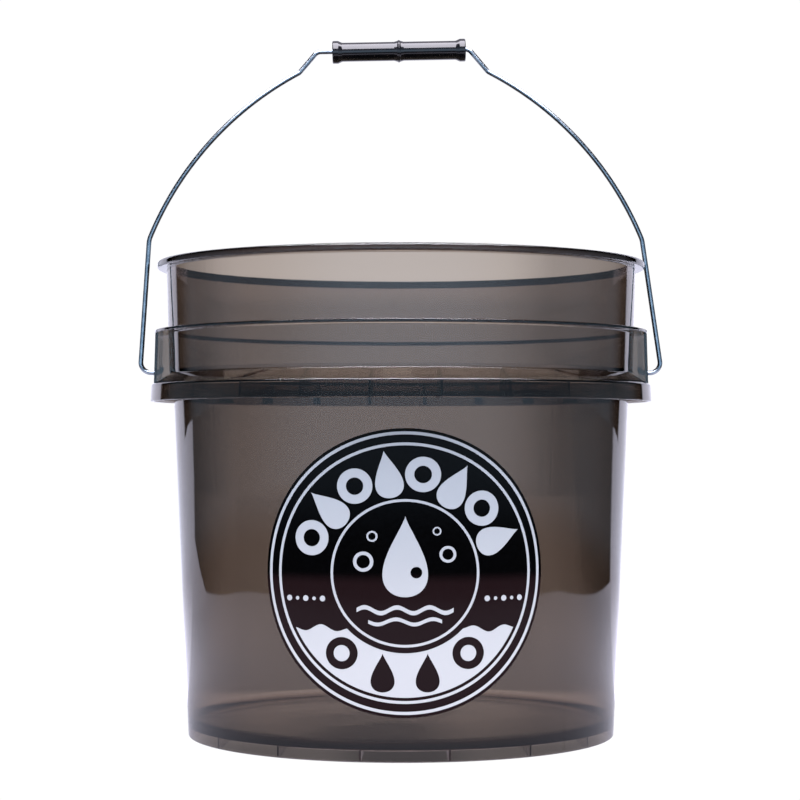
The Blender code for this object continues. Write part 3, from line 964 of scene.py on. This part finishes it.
def table_mirrored(n, x, y, reach, azimuth):
    """Table in the gloss: a sheet under the bucket with a painted shadow near its foot, white behind it, a
    card at the left, the room's glow as painted light.
    """
    across = n.math("DIVIDE", n.math("ABSOLUTE", x), SHEET_HALF_WIDTH)
    along = n.math("DIVIDE", n.math("MAXIMUM", n.times(y, -1.0), 0.0), SHEET_FRONT)
    sheet = n.math("ADD", n.math("POWER", across, SHEET_ROUND), n.math("POWER", along, SHEET_ROUND))
    # painted shadow: the sheet is darker near the bucket
    sheet = n.times(n.ease(sheet, 0.97, 1.03, 1.0, 0.0), n.levels(reach, SHEET_PAINTED_SHADE_BY_REACH))
    behind = n.times(n.ease(azimuth, 0.79, 0.85, 1.0, 0.0), n.ease(reach, 0.25, 1.3, 1.65, 1.0))
    slant = n.math("SUBTRACT", y, n.times(n.math("ABSOLUTE", x), CARD_SLOPE))
    card = n.math("MAXIMUM", n.ease(azimuth, 0.86, 0.90, 1.0, 0.0),
                  n.ease(slant, CARD_EDGE - 0.02, CARD_EDGE + 0.02))
    card = n.times(card, n.math("LESS_THAN", x, 0.0))
    card = n.times(card, n.times(n.ease(y, 0.05, 0.15), n.ease(reach, 0.60, 0.80)))
    white = n.math("MAXIMUM", sheet, n.math("MAXIMUM", behind, card))
    facing = n.math("SUBTRACT", math.pi, azimuth)
    room = n.times(n.ease(reach, 1.05, 1.90, 0.0, 2.2), n.levels(facing, TABLE_ROOM_BY_ANGLE))
    return n.add_colour(n.scaled(white, SHEET_TINT), n.scaled(room, ROOM_TINT))


def table_through(n, x, y, reach):
    """Table out of the plastic, in painted light and shade: a painted shadow under the tinted bucket, dimmer
    to the sides and towards the front.
    """
    front = n.ease(y, -0.30, -0.14, 0.20, 1.0)
    line = n.math("ADD", n.math("MAXIMUM", y, -1.0), CAMERA_DISTANCE)
    line = n.math("ABSOLUTE", n.math("DIVIDE", x, line))
    edge = n.math("ADD", n.ease(line, 0.085, 0.130, 1.0, 0.45), n.ease(line, 0.22, 0.45, 0.0, 0.40))
    # painted shadow of the bucket on the table, darkest in the middle
    under = n.ease(line, 0.012, 0.040, 0.16, 0.40)
    shaded = n.ease(reach, BASE_R - 0.012, BASE_R + 0.006, under, 1.0)
    level = n.times(n.times(front, edge), n.times(shaded, n.levels(y, TABLE_BY_DEPTH)))
    return n.scaled(level, TABLE_WARMTH)


def make_floor():
    """White table that glows, clean to the camera, with painted light and shade of its own in the gloss and
    out of the plastic.
    """
    bm = bmesh.new()
    bmesh.ops.create_grid(bm, x_segments=1, y_segments=1, size=6.0)
    floor = new_object("studio_floor", bm)
    floor.location = (0.0, 0.0, -0.0002)
    mat = bpy.data.materials.new("studio_floor")
    mat.use_nodes = True
    n = Nodes(mat.node_tree)
    out = n.add("ShaderNodeOutputMaterial")
    x, y, _ = n.split(n.place())
    reach = n.math("SQRT", n.math("ADD", n.times(x, x), n.times(y, y)))
    azimuth = n.math("ABSOLUTE", n.math("ARCTAN2", x, y))
    mirrored = table_mirrored(n, x, y, reach, azimuth)
    through = table_through(n, x, y, reach)
    # the table glows: its levels in the gloss and out of the plastic are painted light and shade
    glow = n.add("ShaderNodeEmission")
    n.put(glow.inputs["Color"], by_ray(n, SEEN_WHITE, mirrored, through, SOFT_TABLE))
    n.put(out.inputs["Surface"], glow.outputs[0])
    floor.data.materials.append(mat)


def make_softbox():
    """Large soft box overhead, for surfaces only; the gloss meets the world's overhead box instead."""
    light = bpy.data.lights.new("softbox", "AREA")
    light.shape = "RECTANGLE"
    base, height = 0.25, 1.9
    front, back, half = 1.28, 0.27, 1.45    # its edges, per metre of height over the base
    light.size = 2.0 * half * height
    light.size_y = (front + back) * height
    radiance = 10.0
    light.energy = radiance * math.pi * light.size * light.size_y
    light.color = (0.95, 0.95, 1.0)
    obj = link(bpy.data.objects.new("softbox", light))
    obj.location = (0.0, (back - front) / 2.0 * height, base + height)
    obj.visible_camera = False
    obj.visible_glossy = False
    obj.visible_transmission = False


def make_camera():
    """Long lens at table height, a little to the left of the bucket's front."""
    data = bpy.data.cameras.new("camera")
    data.lens = LENS
    data.sensor_width = SENSOR_WIDTH
    data.clip_start = 0.05
    camera = link(bpy.data.objects.new("camera", data))
    camera.location = (-CAMERA_DISTANCE * math.sin(CAMERA_SIDE), -CAMERA_DISTANCE * math.cos(CAMERA_SIDE),
                       CAMERA_HEIGHT)
    camera.rotation_euler = (math.pi / 2.0 + CAMERA_PITCH, 0.0, -CAMERA_SIDE + CAMERA_AIM)
    bpy.context.scene.camera = camera


def set_view():
    """Plain display transform, so that white stays white."""
    view = bpy.context.scene.view_settings
    view.view_transform = "Standard"
    view.look = "None"
    view.exposure = 0.0
    view.gamma = 1.0


def main():
    set_view()
    make_camera()
    make_world()
    make_floor()
    make_softbox()
    build_shell(smoke_plastic())
    build_wire(zinc_wire())
    build_grip(grip_plastic())
    build_label(film_black(), film_white())


main()
